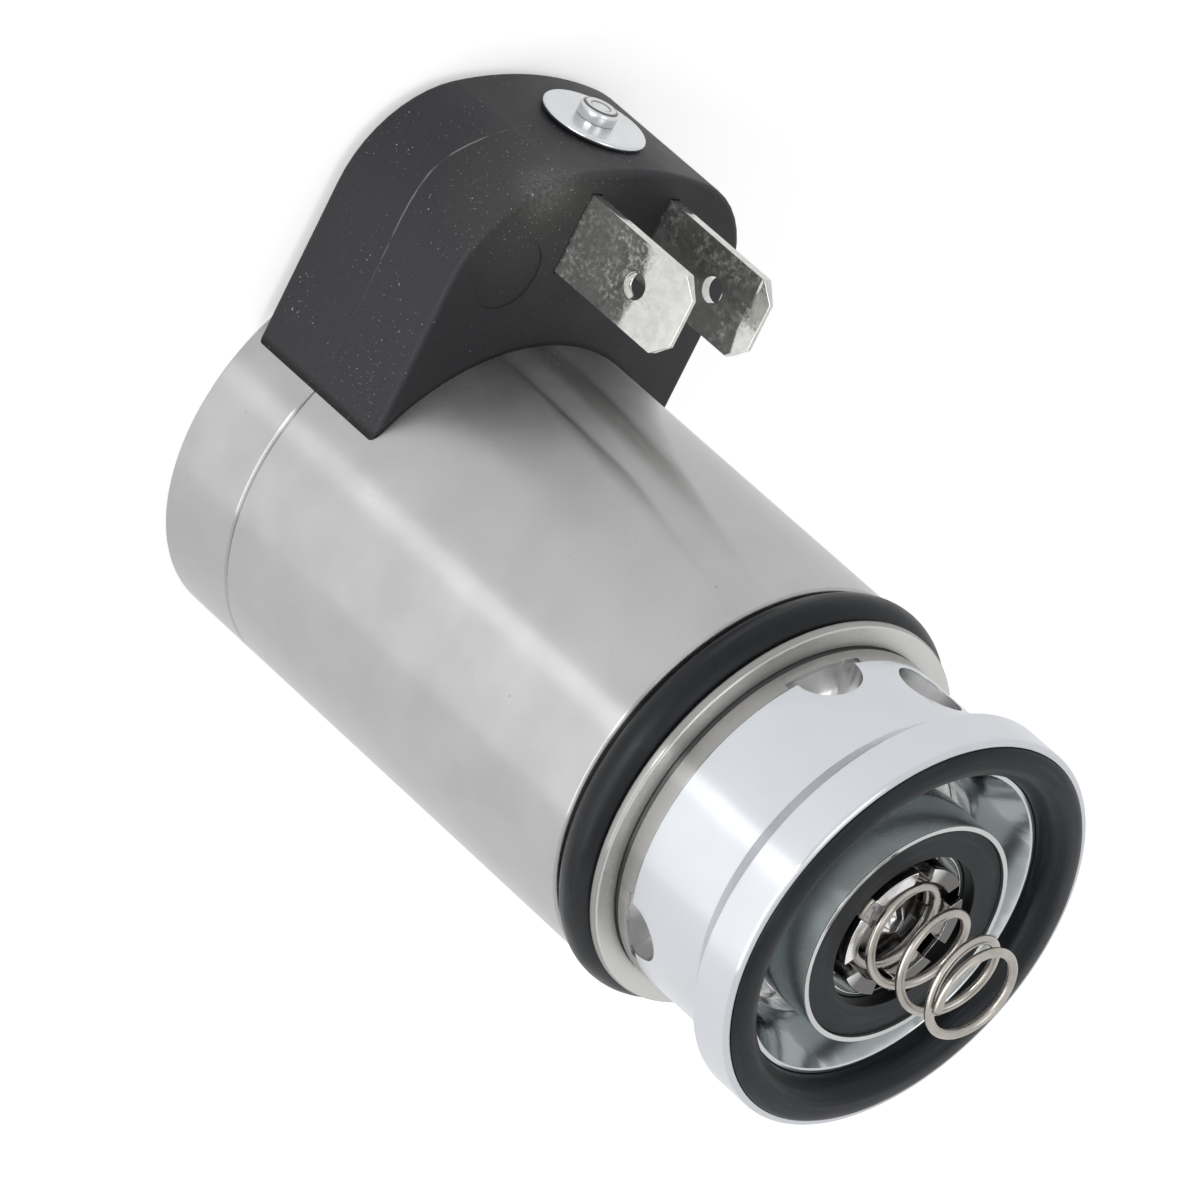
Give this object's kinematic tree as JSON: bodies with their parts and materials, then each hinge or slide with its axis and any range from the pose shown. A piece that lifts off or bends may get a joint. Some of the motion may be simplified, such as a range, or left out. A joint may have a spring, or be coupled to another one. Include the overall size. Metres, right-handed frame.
{
  "type": "air brake solenoid valve",
  "caption": "Push-type solenoid valve for air brakes: round steel coil can with blade terminals in a side hood, sealed sleeve with radial ports and a sprung poppet at its front.",
  "frame": {"origin": "centre of the flat rear face of the rear cap, on the valve's axis", "axes": "+Z along the valve's axis from the rear cap to the poppet; the terminal hood stands towards -Y; +X to the side"},
  "size_m": [0.033, 0.0482, 0.0704],
  "materials": {
    "can_steel": "satin turned and plated",
    "plate_steel": "turned, dull",
    "sleeve_aluminium": "bright turned",
    "poppet_metal": "bright pressed",
    "crown_metal": "bright plated",
    "black_rubber": "soft sheen",
    "hood_plastic": "fine moulded grain",
    "tab_tin": "tin plated",
    "rivet_zinc": "zinc plated",
    "spring_wire": "drawn wire",
    "bobbin_plastic": "natural moulded",
    "copper_wire": "enamelled copper",
    "coil_tape": "wound film",
    "tube_brass": "drawn",
    "core_iron": "turned soft iron"
  },
  "bodies": {
    "valve_body": {"rear_cap": "can_steel", "coil_can": "can_steel", "terminal_hood": "hood_plastic", "terminal_left": "tab_tin", "terminal_right": "tab_tin", "rivet_washer": "rivet_zinc", "hood_rivet": "rivet_zinc", "bumper_pad": "black_rubber", "guide_tube": "tube_brass", "core_seal": "black_rubber", "coil_bobbin": "bobbin_plastic", "coil_winding": "copper_wire", "winding_tape": "coil_tape", "pole_core": "core_iron", "front_plate": "plate_steel", "body_oring": "black_rubber", "valve_sleeve": "sleeve_aluminium", "flange_seal": "black_rubber"},
    "plunger": {"armature": "core_iron", "push_pin": "crown_metal", "poppet": "poppet_metal", "poppet_seal": "black_rubber", "crown_nut": "crown_metal", "return_spring": "spring_wire"}
  },
  "joints": [
    {"name": "plunger_slide", "type": "slide", "parent": "valve_body", "child": "plunger", "axis": [0, 0, 1], "range_m": [0, 0.0017]}
  ]
}
